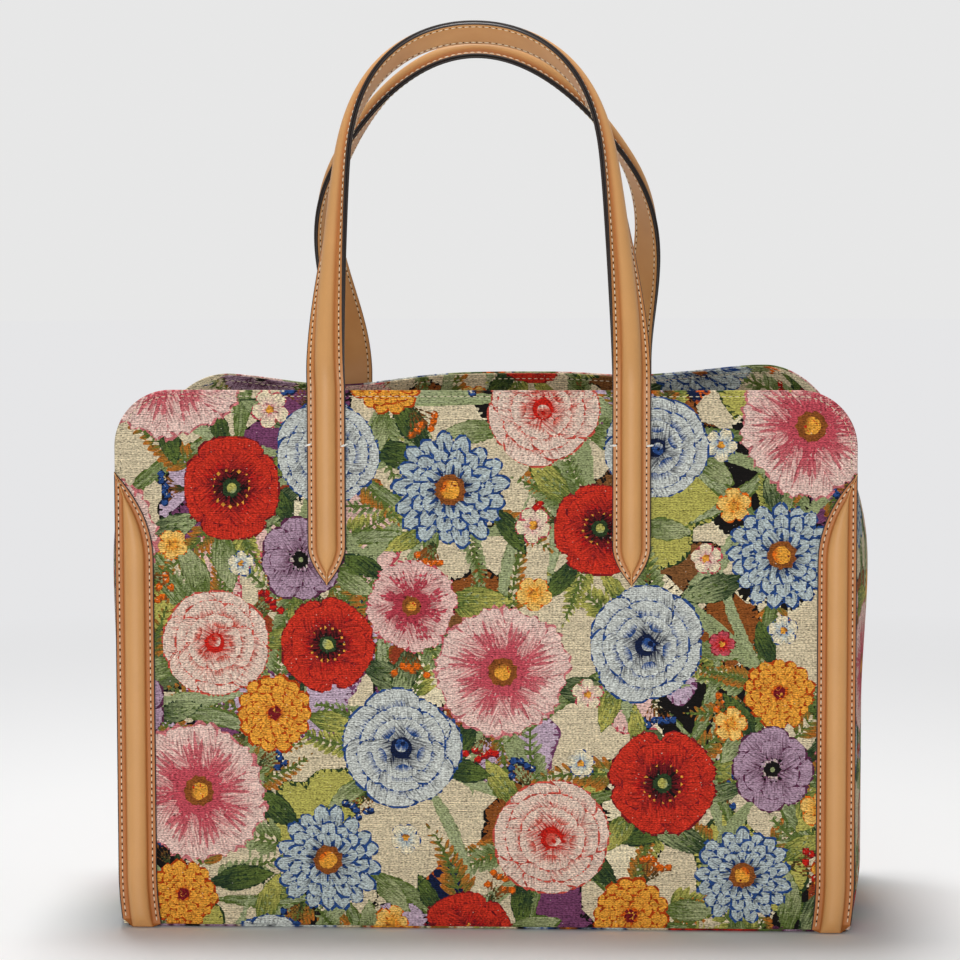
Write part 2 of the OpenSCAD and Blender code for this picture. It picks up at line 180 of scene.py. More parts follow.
def cosmos(at, r, deep, mid, pale):
    turn = rng.uniform(0, 6)

    def one(a, k):
        n = r * k
        petal(at, a, n, r * 0.8, "fan", deep, mid)
        petal(at, a, n * 0.97, r * 0.74, "fan", deep, pale)
        for off in (-0.24, -0.09, 0.07, 0.22):
            vein = n * rng.uniform(0.42, 0.62)
            petal(away(at, a + off * 0.6, n * 0.3), a + off, vein, r * 0.05, "almond", deep, mid)
        satin(at, a, n * 0.5, r * 0.42, 5, deep, deep)
    ring(8, turn, one)
    disc(at, r * 0.19, OCHRE, points=20, rough=0.22)
    disc(at, r * 0.13, AMBER, OCHRE, points=12)
    ring(7, turn, lambda a, k: disc(away(at, a, r * 0.08), r * 0.022, RED, points=6))


def anemone(at, r, deep, mid, pale):
    turn = rng.uniform(0, 6)
    for count, reach in ((8, 1.0), (6, 0.72)):
        def one(a, k):
            n = r * reach * k
            petal(at, a, n, r * 0.78 * reach, "round", deep, deep)
            petal(at, a, n * 0.96, r * 0.72 * reach, "round", deep, pale)
            satin(at, a, n * 0.42, r * 0.4 * reach, 4, ECRU, pale)
        ring(count, turn, one)
        turn += 0.4
    ring(15, turn, lambda a, k: disc(away(at, a, r * 0.29 * k), r * 0.034, INK, points=6))
    disc(at, r * 0.18, INK, points=16, rough=0.15)
    disc(at, r * 0.08, SAGE)


def leaf(at, turn, n, deep, mid, pale, bend=0.0):
    """A two-toned leaf with a midrib and stitched side veins."""
    wide = n * rng.uniform(0.36, 0.46)
    petal(at, turn, n, wide, "almond", deep, deep, bend)
    petal(at, turn, n * 0.97, wide * 0.88, "almond", deep, pale, bend)
    for k in range(1, 6):
        t = 0.12 + 0.13 * k
        root = turned(at, turn, t * n, bend * n * t * t)
        for sign in (-1, 1):
            splay = turn + sign * (0.62 - 0.05 * k) + 2 * bend * t
            petal(root, splay, wide * (0.56 - 0.065 * k), n * 0.035, "almond", deep, mid)
    petal(at, turn, n * 0.9, n * 0.04, "strap", deep, pale, bend)


def blade(at, turn, n, width, deep, pale, bend):
    petal(at, turn, n, width, "almond", deep, deep, bend)
    petal(at, turn, n * 0.97, width * 0.74, "almond", deep, pale, bend)
    petal(at, turn, n * 0.9, width * 0.16, "almond", pale, deep, bend)


def fern(at, turn, n, deep, pale, bend):
    """A curved stem with pairs of small leaves."""
    petal(at, turn, n, 1.5, "strap", deep, deep, bend)
    for k in range(9):
        t = 0.14 + 0.095 * k
        root = turned(at, turn, t * n, bend * n * t * t)
        for sign in (-1, 1):
            small = n * (0.3 - 0.022 * k) * rng.uniform(0.85, 1.1)
            petal(root, turn + 2 * bend * t + sign * 0.85, small, small * 0.3, "almond", deep, pale)
    top = turned(at, turn, n * 0.98, bend * n)
    petal(top, turn + 2 * bend, n * 0.12, n * 0.04, "almond", deep, pale)


def berries(at, turn, n, deep, mid):
    for k in range(6):
        a = turn + (k - 2.5) * 0.22
        reach = n * rng.uniform(0.6, 1)
        petal(at, a, reach, 0.9, "strap", MOSS, OCHRE)
        p = away(at, a, reach)
        disc(p, n * 0.13, deep, points=10)
        disc(away(p, 2, n * 0.02), n * 0.095, mid, points=10)
        disc(away(p, 2.2, n * 0.05), n * 0.03, ECRU, points=6)


def small_bloom(at, r, deep, mid, pale):
    turn = rng.uniform(0, 6)

    def one(a, k):
        petal(at, a, r * k, r * 0.86, "round", deep, deep)
        petal(at, a, r * 0.93 * k, r * 0.74, "round", mid, pale)
        petal(at, a, r * 0.6, r * 0.14, "almond", deep, mid)
    ring(5, turn, one)
    disc(at, r * 0.22, AMBER, OCHRE, points=8)


def patch(at, r, colour, edge):
    """An uneven field of ground colour with a blanket-stitched edge."""
    f = [rng.uniform(0, 6) for _ in range(3)]

    def reach(a):
        return r * (1 + 0.24 * math.sin(2 * a + f[0]) + 0.14 * math.sin(3 * a + f[1])
                    + 0.06 * math.sin(7 * a + f[2]))
    turns = np.linspace(0, 2 * math.pi, 49)[:-1]
    for grow, tone in ((1.0, edge), (0.96, colour)):
        pts = [(grow * reach(a) * math.cos(a), grow * reach(a) * math.sin(a)) for a in turns]
        shape(at, 0, pts, tone, tone, r)
    count = int(r * 1.9)
    for k in range(count):
        a = 2 * math.pi * k / count
        inward = a + math.pi + rng.uniform(-0.3, 0.3)
        petal(away(at, a, reach(a)), inward, rng.uniform(3, 5), 1.2, "strap", edge, edge)


# Layout of the print
# Flowers are spread first, the large pink ones before the rest, each away from
# its own kind. Ground, stems and leaves are then drawn under them.
print_half, print_low, print_high = 238, -48, 302


def on_print():
    """A random place on the printed length of cloth."""
    return (rng.uniform(-print_half, print_half), rng.uniform(print_low, print_high))


PINK = (ROSE, (208, 120, 122), (236, 202, 190))
BLOOMS = (
    (cosmos, 39, PINK, 6),
    (rose, 31, (RED, (206, 84, 70), (234, 208, 190)), 4),
    (aster, 29, (NAVY, BLUE, MIST), 6),
    (rose, 29, (NAVY, BLUE, (206, 210, 204)), 6),
    (poppy, 27, (WINE, RED, (206, 52, 34)), 9),
    (zinnia, 20, ((182, 66, 16), ORANGE, AMBER), 8),
    (anemone, 23, ((92, 44, 72), PLUM, (178, 148, 168)), 6),
    (cosmos, 26, ((178, 60, 74), ROSE, (232, 192, 182)), 5),
)
TRIES, OWN_KIND_GAP = 900, 96
placed = []
for draw, size, tones, count in BLOOMS:
    left = count
    for k in range(TRIES):
        r = size * rng.uniform(0.9, 1.08)
        at = on_print()
        gaps = [math.dist(at, p[1]) - 0.97 * (r + p[2]) for p in placed]
        kin = [math.dist(at, p[1]) for p in placed if p[3] == tones]
        if left and min(gaps, default=1) > 0 and min(kin, default=999) > OWN_KIND_GAP:
            placed.append((draw, at, r, tones))
            left -= 1
GROUNDS = (
    (LILAC, PLUM), (OCHRE, INK), (ECRU, INK), ((92, 104, 66), INK), (NAVY, (210, 96, 30)),
    (BLUSH, ROSE), ((128, 84, 46), INK), (LILAC, INK), (INK, ECRU), (LINEN, INK), (PLUM, INK),
    ((150, 60, 34), OCHRE), (LIME, MOSS),
)
for k in range(104):
    across = rng.uniform(-print_half - 2, print_half + 2)
    at = (across, rng.uniform(print_low - 2, print_high + 3))
    patch(at, rng.uniform(14, 28), *GROUNDS[k % len(GROUNDS)])
GREENS = ((MOSS, LEAF, SAGE), (LEAF, SAGE, (166, 172, 126)), (LEAF, SAGE, LIME), ((38, 58, 38), MOSS, LEAF))
for draw, at, size, tones in placed:
    for k in range(3):
        a = rng.uniform(0, 6.28)
        fern(away(at, a, size * 0.7), a, rng.uniform(30, 46), LEAF,
             rng.choice((SAGE, LIME, (190, 110, 40))), rng.uniform(-0.3, 0.3))
    for k in range(3):
        a = rng.uniform(0, 6.28)
        blade(away(at, a, size * 0.5), a, rng.uniform(50, 82), rng.uniform(6, 10), rng.choice((LEAF, SAGE)),
              rng.choice((SAGE, (168, 176, 134))), rng.uniform(-0.4, 0.4))
for draw, at, size, tones in placed:
    for k in range(3):
        a = 2.1 * k + rng.uniform(-0.6, 0.6)
        leaf(away(at, a, size * 0.72), a + rng.uniform(-0.4, 0.4), rng.uniform(24, 38),
             *rng.choice(GREENS), rng.uniform(-0.2, 0.2))
    a = rng.uniform(0, 6.28)
    berries(away(at, a, size * 0.9), a, 17, *rng.choice(((WINE, RED), (NAVY, BLUE), (OCHRE, ORANGE))))
SMALL = (
    (9, (ORANGE, AMBER, (244, 200, 110))), (8, (BLUE, MIST, ECRU)),
    (9.5, (ROSE, BLUSH, ECRU)), (8, (WINE, RED, ROSE)),
)
for k in range(150):
    r, tones = SMALL[k % len(SMALL)]
    at = on_print()
    if min(math.dist(at, p[1]) - 0.92 * p[2] - r for p in placed) > 0:
        small_bloom(at, r * rng.uniform(0.85, 1.15), *tones)
        placed.append((None, at, r + 6, tones))
for draw, at, size, tones in placed:
    if draw:
        draw(at, size, *tones)


# Body cloth
# Front, back, gussets and base are single layers of the stiff canvas, sewn
# edge to edge, with the edges turned under. The shape follows the measured
# body: a bowed front, a wavy rear edge and soft sides.
body_w, body_h, body_d = 388.0, 285.0, 160.0
front_r, back_r = 30.0, 43.0
cloth_t, play = 1.8, 0.15
hem = cloth_t / 2
foot_z, gusset_h = 1.5, 253.0


def ease(t):
    t = np.clip(t, 0, 1)
    return t * t * (3 - 2 * t)


def bell(x, middle, spread):
    return np.exp(-(((x - middle) / spread) ** 2))


def half_w(z, r):
    tuck = 2.5 * (1 - np.clip(z / 30, 0, 1)) ** 2
    up = np.clip(z - body_h + r, 0, r)
    return body_w / 2 - tuck - (r - np.sqrt(r * r - up * up))


def bow(u, z):
    return 2.5 * (1 - np.clip(np.abs(u), 0, 1) ** 4) * ease(2 * z / body_h)


def wave(x, z):
    u = x / body_w
    lift = 1.5 - 7.5 * bell(u, -0.237, 0.116) - 2 * bell(u, 0.193, 0.064) + 4 * bell(u, 0.387, 0.082)
    return ease((z - body_h + 70) / 70) * lift


def on_panel(p, depth, r, back):
    """Point of a panel at p = (x, z), depth under its outer face."""
    x, z = p[:, 0], p[:, 1]
    u = x / np.maximum(half_w(np.minimum(z, body_h), r), 1)
    y = depth - body_d / 2 - bow(u, z)
    if back:
        return np.stack([x, -y, z + wave(x, z)], 1)
    return np.stack([x, y, z], 1)


def on_gusset(p, depth, side):
    """Point of a gusset at p = (y, z), depth under its outer face."""
    y, z = p[:, 0], p[:, 1]
    q = y / (body_d / 2 - cloth_t - play)
    t = z / gusset_h
    late = np.clip((t - 0.74) / 0.26, 0, 1.2) ** 2.2
    swell = 10 * (0.4 + 0.28 * ease(t / 0.12) + 0.32 * ease((t - 0.45) / 0.29) - 1.7 * late)
    front, back = half_w(z, front_r), half_w(z, back_r)
    x = front + (back - front) * (q + 1) / 2 + swell * (1 - q * q) - depth
    return np.stack([side * x, y, z], 1)


def mesh_piece(name, verts, faces, materials, indices=None, smooth=True):
    mesh = bpy.data.meshes.new(name)
    mesh.from_pydata([tuple(v) for v in np.asarray(verts, float) / 1000], [], faces)
    for m in materials:
        mesh.materials.append(m)
    if indices is not None:
        mesh.polygons.foreach_set("material_index", np.array(indices, dtype=np.int32))
    mesh.polygons.foreach_set("use_smooth", [smooth] * len(faces))
    mesh.update()
    piece = bpy.data.objects.new(name, mesh)
    bpy.context.scene.collection.objects.link(piece)
    return piece


def paint(a, b, shift):
    """Index of the topmost shape over each point of a grid, or -1."""
    label = np.full(a.shape, -1, dtype=np.int32)
    rows_b = b.mean(axis=(1, 2))
    for n, (pts, *_) in enumerate(shapes):
        pts = pts + shift
        lo, hi = pts.min(0), pts.max(0)
        r0, r1 = np.searchsorted(rows_b, (lo[1] - 2, hi[1] + 2))
        if r0 >= r1:
            continue
        wide = max(abs(a[r0, 0, 0]), abs(a[r1 - 1, 0, 0]), 1)
        cols = a.shape[1]
        c0 = max(0, int((lo[0] / wide * 0.5 + 0.5) * cols) - 12)
        c1 = min(cols, int((hi[0] / wide * 0.5 + 0.5) * cols) + 12)
        if c0 >= c1:
            continue
        x, y = a[r0:r1, c0:c1].ravel(), b[r0:r1, c0:c1].ravel()
        near = np.nonzero((x > lo[0]) & (x < hi[0]) & (y > lo[1]) & (y < hi[1]))[0]
        if not len(near):
            continue
        x, y = x[near], y[near]
        p, q = pts[:, None, :], np.roll(pts, -1, 0)[:, None, :]
        spans = (p[..., 1] > y) != (q[..., 1] > y)
        rise = np.where(q[..., 1] == p[..., 1], 1, q[..., 1] - p[..., 1])
        left = x < p[..., 0] + (y - p[..., 1]) * (q[..., 0] - p[..., 0]) / rise
        inside = (spans & left).sum(0) % 2 == 1
        part = label[r0:r1, c0:c1]
        flat = part.ravel()
        flat[near[inside]] = n
        label[r0:r1, c0:c1] = flat.reshape(part.shape)
    return label


def printed_cloth(name, rows, half, pitch, place, thick, flip, shift, material):
    """A closed layer of cloth: printed face, rolled edge, plain inner face."""
    wide = np.array([float(half(v)) for v in rows])
    count = int(2 * wide.max() / pitch)
    u = np.linspace(-1, 1, count + 1)
    grid = np.stack([wide[:, None] * u, np.repeat(np.array(rows)[:, None], count + 1, 1)], -1)
    n_r, n_c = grid.shape[:2]
    ids = np.arange(n_r * n_c).reshape(n_r, n_c)
    p, q, r, s = ids[:-1, :-1], ids[:-1, 1:], ids[1:, 1:], ids[1:, :-1]
    odd = (np.add.outer(np.arange(n_r - 1), np.arange(n_c - 1)) % 2 == 1)[..., None]
    first = np.where(odd, np.stack([p, q, r], -1), np.stack([p, q, s], -1))
    second = np.where(odd, np.stack([p, r, s], -1), np.stack([q, r, s], -1))
    tris = np.stack([first, second], 2)
    flat = grid.reshape(-1, 2)
    middle = flat[tris].mean(3)
    label = paint(middle[..., 0], middle[..., 1], shift).ravel()
    tris = tris.reshape(-1, 3)
    # Each line between two colours is drawn out of its steps.
    edges = np.concatenate([tris[:, [0, 1]], tris[:, [1, 2]], tris[:, [2, 0]]])
    owner = np.tile(label, 3)
    key = np.sort(edges, 1)
    key = key[:, 0].astype(np.int64) * len(flat) + key[:, 1]
    order = np.argsort(key, kind="stable")
    same = np.nonzero(key[order][1:] == key[order][:-1])[0]
    differ = owner[order[same]] != owner[order[same + 1]]
    lines = edges[order[same[differ]]]
    fixed = np.zeros((n_r, n_c), bool)
    fixed[[0, -1]] = fixed[:, [0, -1]] = True
    fixed = fixed.ravel()
    for _ in range(2):
        total, links = np.zeros_like(flat), np.zeros(len(flat))
        for i, j in ((0, 1), (1, 0)):
            np.add.at(total, lines[:, i], flat[lines[:, j]])
            np.add.at(links, lines[:, i], 1)
        move = (links == 2) & ~fixed
        flat = flat.copy()
        flat[move] = 0.45 * flat[move] + 0.55 * total[move] / links[move][:, None]
    loop = np.concatenate([ids[0, :], ids[1:, -1], ids[-1, -2::-1], ids[-2:0:-1, 0]])
    outline = flat[loop]
    along = np.roll(outline, -1, 0) - np.roll(outline, 1, 0)
    normal = np.stack([along[:, 1], -along[:, 0]], 1)
    normal /= np.linalg.norm(normal, axis=1)[:, None]
    verts, faces = [place(flat, np.zeros(len(flat)))], tris.tolist()
    size, last, roll = len(flat), loop, thick / 2
    rim = []
    for k in (1, 2, 3, 4):
        a = k * math.pi / 4
        depth = np.full(len(outline), roll * (1 - math.cos(a)))
        verts.append(place(outline + normal * roll * math.sin(a), depth))
        new = np.arange(size, size + len(outline))
        size += len(outline)
        faces += np.stack([np.roll(last, -1), last, new, np.roll(new, -1)], 1).tolist()
        rim.append(np.stack([np.roll(loop, -1), loop, loop, np.roll(loop, -1)], 1))
        last = new
    lo, hi = outline.min(0), outline.max(0)
    net = [(x, y) for x in np.arange(lo[0] + 8, hi[0], 15) for y in np.arange(lo[1] + 8, hi[1], 15)]
    points = [Vector(v) for v in outline.tolist() + net]
    inner = delaunay_2d_cdt(points, [], [list(range(len(outline)))], 0, 1e-5, True)
    index, inside = {}, []
    for new_id, old in enumerate(inner[3]):
        on_edge = [o for o in old if o < len(outline)]
        if on_edge:
            index[new_id] = int(last[on_edge[0]])
        else:
            index[new_id] = size + len(inside)
            inside.append(tuple(inner[0][new_id]))
    verts.append(place(np.array(inside), np.full(len(inside), thick)))
    plain = [[index[i] for i in reversed(t)] for t, own in zip(inner[2], inner[5]) if own]
    faces += plain
    # Colour of every corner, from the shape it belongs to.
    root = np.array([s[1] for s in shapes] + [linear(LINEN)])
    tip = np.array([s[2] for s in shapes] + [linear(LINEN)])
    start = np.array([s[3] for s in shapes] + [(0, 0)])
    axis = np.array([s[4] for s in shapes] + [(1, 0)])
    at = flat[tris] - shift - start[label][:, None]
    axes = axis[label][:, None]
    length = np.hypot(axis[:, 0], axis[:, 1])[label][:, None]
    t = np.clip((at * axes).sum(-1) / length**2, 0, 1)
    across = (at[..., 0] * axes[..., 1] - at[..., 1] * axes[..., 0]) / length
    paints = [np.concatenate([np.repeat(c[label][:, None], 3, 1), t[..., None]], -1) for c in (root, tip)]
    thread = np.stack([(t * length + 37 * label[:, None]) / 1000, across / 1000], -1)
    rim = np.concatenate(rim)
    plain_tint = np.tile([*linear(ECRU), 0.5], (len(plain), 3, 1))
    layers = {}
    for key, tint in zip(("root", "tip"), paints):
        on_vert = np.zeros((len(flat), 4))
        on_vert[tris.ravel()] = tint.reshape(-1, 4)
        layers[key] = [tint, on_vert[rim], plain_tint]
    threads = [thread, flat[rim] / 1000, np.zeros((len(plain), 3, 2))]
    if flip:
        faces = [f[::-1] for f in faces]
        threads = [c[:, ::-1] for c in threads]
        layers = {key: [c[:, ::-1] for c in parts] for key, parts in layers.items()}
    piece = mesh_piece(name + "_cloth", np.concatenate(verts), faces, [material])
    for key, parts in layers.items():
        layer = piece.data.color_attributes.new(key, "FLOAT_COLOR", "CORNER")
        values = np.concatenate([c.reshape(-1, 4) for c in parts]).astype(np.float32)
        layer.data.foreach_set("color", values.ravel())
    layer = piece.data.uv_layers.new(name="thread")
    values = np.concatenate([c.reshape(-1, 2) for c in threads]).astype(np.float32)
    layer.data.foreach_set("uv", values.ravel())
    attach(piece, "root")
    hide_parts(name)
    return piece


def panel_rows(r, pitch):
    """Heights of a panel's rows, closer where the corners turn in."""
    straight = np.linspace(foot_z + hem, body_h - r, int((body_h - r - foot_z) / pitch))
    turn = np.linspace(0, math.pi / 2, int(r * math.pi / 2 / pitch))[1:]
    return np.concatenate([straight, body_h - r + (r - hem) * np.sin(turn)])


def panel_half(r):
    def half(z):
        up = min(1, max(0, z - body_h + r) / (r - hem))
        return float(half_w(np.array(min(z, body_h - r)), r)) - r + (r - hem) * math.sqrt(1 - up * up)
    return half


class Shade:
    """A value in a material. Sums and products of it add maths nodes."""

    def __init__(self, tree, socket=None):
        self.tree, self.socket = tree, socket

    def node(self, kind, out, sockets=None, **settings):
        """Any other node, with its sockets fed by values or plain numbers."""
        made = self.tree.nodes.new("ShaderNode" + kind)
        for key, value in settings.items():
            setattr(made, key, value)
        for key, value in (sockets or {}).items():
            if isinstance(value, Shade):
                self.tree.links.new(value.socket, made.inputs[key])
            else:
                made.inputs[key].default_value = value
        return Shade(self.tree, made.outputs[out])

    def also(self, out):
        return Shade(self.tree, self.socket.node.outputs[out])

    def maths(self, kind, a, b=0.0):
        return self.node("Math", 0, {0: a, 1: b}, operation=kind)

    def __add__(self, other):
        return self.maths("ADD", self, other)

    def __sub__(self, other):
        return self.maths("SUBTRACT", self, other)

    def __rsub__(self, other):
        return self.maths("SUBTRACT", other, self)

    def __mul__(self, other):
        return self.maths("MULTIPLY", self, other)

    __radd__, __rmul__ = __add__, __mul__

    def clamp(self, most=1.0):
        return self.maths("MINIMUM", self.maths("MAXIMUM", self, 0.0), most)

    def blend(self, factor, a, b):
        """Mix of two colours, each a value or plain red, green and blue."""
        a, b = (c if isinstance(c, Shade) else (*linear(c), 1) for c in (a, b))
        return self.node("Mix", 2, {0: factor, 6: a, 7: b}, data_type="RGBA")

    def scale(self, factor):
        return self.node("VectorMath", "Vector", {0: self, "Scale": factor}, operation="SCALE")

    def feed(self, shader, name):
        self.tree.links.new(self.socket, shader.inputs[name])

    def slub(self, other, a, b, detail=2.0):
        """Noise drawn out into threads, a and b per metre each way."""
        at = self.node("CombineXYZ", 0, {0: self * a, 1: other * b})
        return self.node("TexNoise", "Fac", {"Vector": at, "Scale": 1.0, "Detail": detail})


def finish(name, colour, rough):
    """A new material of one colour, and its shader and start value."""
    made = bpy.data.materials.new(name)
    made.use_nodes = True
    shader = made.node_tree.nodes["Principled BSDF"]
    shader.inputs["Base Color"].default_value = (*linear(colour), 1)
    shader.inputs["Roughness"].default_value = rough
    shader.inputs["Specular IOR Level"].default_value = 0.35
    return made, shader, Shade(made.node_tree)


canvas, shader, start = finish("printed_canvas", LINEN, 0.92)
shader.inputs["Specular IOR Level"].default_value = 0.15
spot_x = start.node("SeparateXYZ", "X", {0: start.node("TexCoord", "Object")})
level, round_bag = spot_x.also("Z"), spot_x + spot_x.also("Y")
along_shape = start.node("SeparateXYZ", "X", {0: start.node("UVMap", "UV", uv_map="thread")})
weft, warp = round_bag.slub(level, 150, 1100), round_bag.slub(level, 1300, 150)
streak = along_shape.slub(along_shape.also("Y"), 130, 1150)
rib_pitch = 0.0011
rib = start.maths("SINE", level * (2 * math.pi / rib_pitch) + 5 * round_bag.slub(level, 60, 60))
speck = round_bag.slub(level, 800, 1700, 1.0)
tone = 0.85 * weft + 0.55 * warp + 0.65 * streak + 2.0 * speck + 0.1 * rib - 1.24
root = start.node("VertexColor", "Color", layer_name="root")
tip = start.node("VertexColor", "Color", layer_name="tip")
feathered = (1.5 * root.also("Alpha") - 0.25 + 2.4 * (streak - 0.5)).clamp()
dyed = start.blend(feathered, root, tip).scale(tone)
fleck = (9 * (round_bag.slub(level, 760, 900, 0.0) - 0.8)).clamp(0.6)
start.blend(fleck, dyed, (226, 218, 200)).feed(shader, "Base Color")
relief = 0.4 * weft + 0.25 * warp + 0.35 * speck + 0.14 * rib
start.node("Bump", 0, {"Strength": 0.6, "Distance": 0.0004, "Height": relief}).feed(shader, "Normal")

front_panel = printed_cloth(
    "front_panel", panel_rows(front_r, 1.15), panel_half(front_r), 1.2,
    lambda p, d: on_panel(p, d, front_r, False), cloth_t, False, (0, 0), canvas,
)
back_panel = printed_cloth(
    "back_panel", panel_rows(back_r, 1.4), panel_half(back_r), 1.4,
    lambda p, d: on_panel(p, d, back_r, True), cloth_t, True, (30, 20), canvas,
)
gusset_half = body_d / 2 - cloth_t - play - hem
side_rows = np.linspace(foot_z + hem, gusset_h - hem, 210)
right_gusset = printed_cloth(
    "right_gusset", side_rows, lambda v: gusset_half, 1.2,
    lambda p, d: on_gusset(p, d, 1), cloth_t, False, (-60, 0), canvas,
)
left_gusset = printed_cloth(
    "left_gusset", side_rows, lambda v: gusset_half, 1.2,
    lambda p, d: on_gusset(p, d, -1), cloth_t, True, (50, 10), canvas,
)
base_t = 2.2


def base_half(y):
    edge = on_gusset(np.array([[y, foot_z]]), cloth_t + play + base_t / 2, 1)
    return edge[0, 0]


base_y = body_d / 2 - cloth_t - play - base_t / 2
base_panel = printed_cloth(
    "base_panel", np.linspace(-base_y, base_y, 90), base_half, 1.8,
    lambda p, d: np.stack([p[:, 0], p[:, 1], d], 1), base_t, True, (10, -40), canvas,
)
facing_t = 1.0
facing_rows = np.linspace(body_h - 45.5, body_h - 1.5, 36)


def facing_half(r):
    return lambda v: half_w(np.array(v), r) - 8 - facing_t / 2


def on_facing(p, depth, r, back):
    return on_panel(p, cloth_t + play + facing_t - depth, r, back)


front_facing = printed_cloth(
    "front_facing", facing_rows, facing_half(front_r), 1.3,
    lambda p, d: on_facing(p, d, front_r, False), facing_t, True, (70, 130), canvas,
)
back_facing = printed_cloth(
    "back_facing", facing_rows, facing_half(back_r), 1.3,
    lambda p, d: on_facing(p, d, back_r, True), facing_t, False, (-40, 90), canvas,
)

# Lining and board
# A plain cotton lining hangs inside as a tub under the facings, and a flat
# card stiffener lies under it on the base.
lining_cloth, shader, start = finish("lining_cloth", (190, 172, 142), 0.9)
spot_x = start.node("SeparateXYZ", "X", {0: start.node("TexCoord", "Object")})
threads = (spot_x + spot_x.also("Y")).slub(spot_x.also("Z"), 300, 1600)
start.node("Bump", 0, {"Strength": 0.3, "Distance": 0.0002, "Height": threads}).feed(shader, "Normal")


def lining_ring(z, depth):
    """Level loop inside the body, depth under its outer faces."""
    reach = body_d / 2 - depth
    along = np.linspace(-1, 1, 61)[:-1]
    parts = []
    for back, way in ((False, 1), (True, -1)):
        r = back_r if back else front_r
        w = float(half_w(np.array(z), r)) - depth
        parts.append(on_panel(np.stack([way * along * w, np.full(60, z)], 1), np.full(60, depth), r, back))
        side = way * along[::2] * reach
        parts.append(on_gusset(np.stack([side, np.full(30, z)], 1), np.full(30, depth), way))
    return np.concatenate(parts)


def tub(outer, inner):
    """Rings up the outside and down the inside, closed across the floor."""
    rings = outer + inner
    n = len(rings[0])
    faces = []
    for k in range(len(rings) - 1):
        for i in range(n):
            j = (i + 1) % n
            faces.append((k * n + i, k * n + j, (k + 1) * n + j, (k + 1) * n + i))
    faces.append(tuple(reversed(range(n))))
    faces.append(tuple(range((len(rings) - 1) * n, len(rings) * n)))
    return np.concatenate(rings), faces


def foot_curve(z, foot):
    """How far the tub draws in where its wall turns into its floor."""
    return 2.2 * max(0, 1 - (z - foot) / 3) ** 2


skin, lining_t = cloth_t + 1.4, 0.6
lining_foot, lining_top = 4.45, 236
heights = np.concatenate([[lining_foot, 5.1, 6.2], np.linspace(9, lining_top, 46)])
outside = [lining_ring(z, skin + foot_curve(z, lining_foot)) for z in heights]
floor_top = lining_foot + lining_t
inner_heights = (heights[::-1] + lining_t).clip(floor_top, lining_top)
inside = [lining_ring(z, skin + lining_t + foot_curve(z, floor_top)) for z in inner_heights]
verts, faces = tub(outside, inside)
lining = mesh_piece("lining_cloth", verts, faces, [lining_cloth])
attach(lining, "root")
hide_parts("lining")
card = finish("stiffener", (128, 112, 92), 0.9)[0]
rim = [(y, base_half(y) - 1.2) for y in np.linspace(-base_y, base_y, 25) * 0.985]
edge = np.array([(w, y) for y, w in rim] + [(-w, y) for y, w in reversed(rim)])
levels = ((2.35, 0.994), (2.65, 1), (3.85, 1), (4.15, 0.994))
rings = [np.concatenate([edge * k, np.full((len(edge), 1), z)], 1) for z, k in levels]
verts, faces = tub(rings[:2], rings[2:])
base_board = mesh_piece("base_board_card", verts, faces, [card], smooth=False)
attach(base_board, "root")
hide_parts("base_board")

# Leather trims
# Each upright seam is covered below by a strip of vegetable-tanned leather
# with a padded ridge and flat sewn margins, running out to a point above.
# Its cut edges are painted black; a cord fills the ridge. Its margins are drawn
# darker, with painted shade in the crease beside the ridge.
leather, shader, start = finish("ridged_leather", (206, 157, 104), 0.46)
margin_tone_and_crease_shade = start.node("SeparateColor", 0, {0: start.node("VertexColor", "Color", layer_name="margin_tone_and_crease_shade")})
spot = start.node("TexCoord", "Object")
cloud = start.node("TexNoise", "Fac", {"Vector": spot, "Scale": 38.0, "Detail": 3.0})
pore = start.node("TexNoise", "Fac", {"Vector": spot, "Scale": 1500.0, "Detail": 1.0})
# Margins drawn darker, with painted shade in the crease beside the ridge.
tan = start.blend(margin_tone_and_crease_shade, (205, 151, 93), (172, 102, 46))
tan.scale(0.88 + 0.17 * cloud + 0.07 * pore).feed(shader, "Base Color")
start.node("Bump", 0, {"Strength": 0.12, "Distance": 0.0002, "Height": pore}).feed(shader, "Normal")
edge_paint = finish("edge_paint", (34, 24, 20), 0.42)[0]
padding = finish("padding", (214, 206, 188), 0.95)[0]
leather_t, ridge_h, flange_w = 1.3, 4.5, 4.6


def ridge_profile(half, ridge, rise, low):
    """Loop of (across, height, painted) round a ridged strip and its tunnel."""
    t = leather_t
    e = min(0.3, half * 0.3)
    tunnel = ((0, 0.9), (0.37, 0.84), (0.68, 0.56), (0.83, 0))
    loop = [(ridge * a, low + rise * h, 0) for a, h in tunnel]
    loop += [(half - min(1.2, half * 0.4), low, 1), (half - e, low, 1)]
    loop += [(half, low + e, 1), (half, low + t - e, 1)]
    loop += [(half - e * 0.35, low + t - e * 0.1, 1), (half - min(0.55, half * 0.4), low + t, 1)]
    loop += [(half - min(0.6, half * 0.45), low + t, 0), (0.5 * (half + ridge), low + t, 0)]
    loop += [(ridge + 0.25 * (half - ridge), low + t - 0.06, 0), (ridge * 1.02, low + t - 0.02, 0)]
    for k in range(1, 10):
        a = ridge * math.cos(k / 9 * math.pi / 2)
        loop.append((a, low + t + rise * (1 - (a / ridge) ** 2.3) ** 0.62, 0))
    return loop + [(-a, h, m) for a, h, m in reversed(loop[1:-1])]


def fill_loop(ridge, rise, low):
    """Section of the cord in a ridge's tunnel."""
    half, top = ridge * 0.69, rise * 0.74
    arch = [(half * math.cos(a), low + top * math.sin(a) ** 0.8) for a in np.linspace(0, math.pi, 13)]
    return [(a, h, 0) for a, h in arch]


